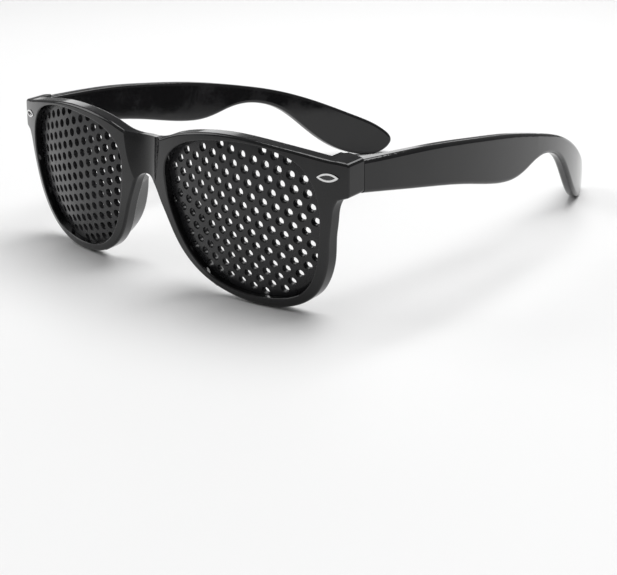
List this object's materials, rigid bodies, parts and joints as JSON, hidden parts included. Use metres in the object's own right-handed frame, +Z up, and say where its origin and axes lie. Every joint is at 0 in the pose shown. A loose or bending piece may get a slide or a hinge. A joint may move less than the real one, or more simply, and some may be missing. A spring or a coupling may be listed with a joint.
{
  "type": "pinhole glasses",
  "caption": "Pinhole glasses with a one-piece front, perforated opaque lenses, folding bowed temples, slotted hinge screws and bright corner inlays.",
  "frame": {"origin": "on the table under the middle of the unfolded glasses, which stand on the rims' lower edges and the temple tips", "axes": "+X to the wearer's left, -Y the way the wearer looks, +Z up"},
  "size_m": [0.139, 0.164, 0.0469],
  "materials": {
    "frame_plastic": "polished black moulding",
    "lens_plastic": "smooth black moulding",
    "screw_steel": "dark plated",
    "inlay_metal": "polished"
  },
  "bodies": {
    "front": {"front_frame": "frame_plastic", "left_pinhole_lens": "lens_plastic", "right_pinhole_lens": "lens_plastic", "left_hinge_screw": "screw_steel", "right_hinge_screw": "screw_steel", "left_corner_inlay": "inlay_metal", "right_corner_inlay": "inlay_metal"},
    "left_arm": {"left_temple": "frame_plastic"},
    "right_arm": {"right_temple": "frame_plastic"}
  },
  "joints": [
    {"name": "left_temple_fold", "type": "hinge", "parent": "front", "child": "left_arm", "pos_m": [0.0604, -0.06645, 0.03841], "axis": [0, 0, 1], "range_deg": [0, 87]},
    {"name": "right_temple_fold", "type": "hinge", "parent": "front", "child": "right_arm", "pos_m": [-0.0604, -0.06645, 0.03841], "axis": [0, 0, -1], "range_deg": [0, 80]}
  ]
}
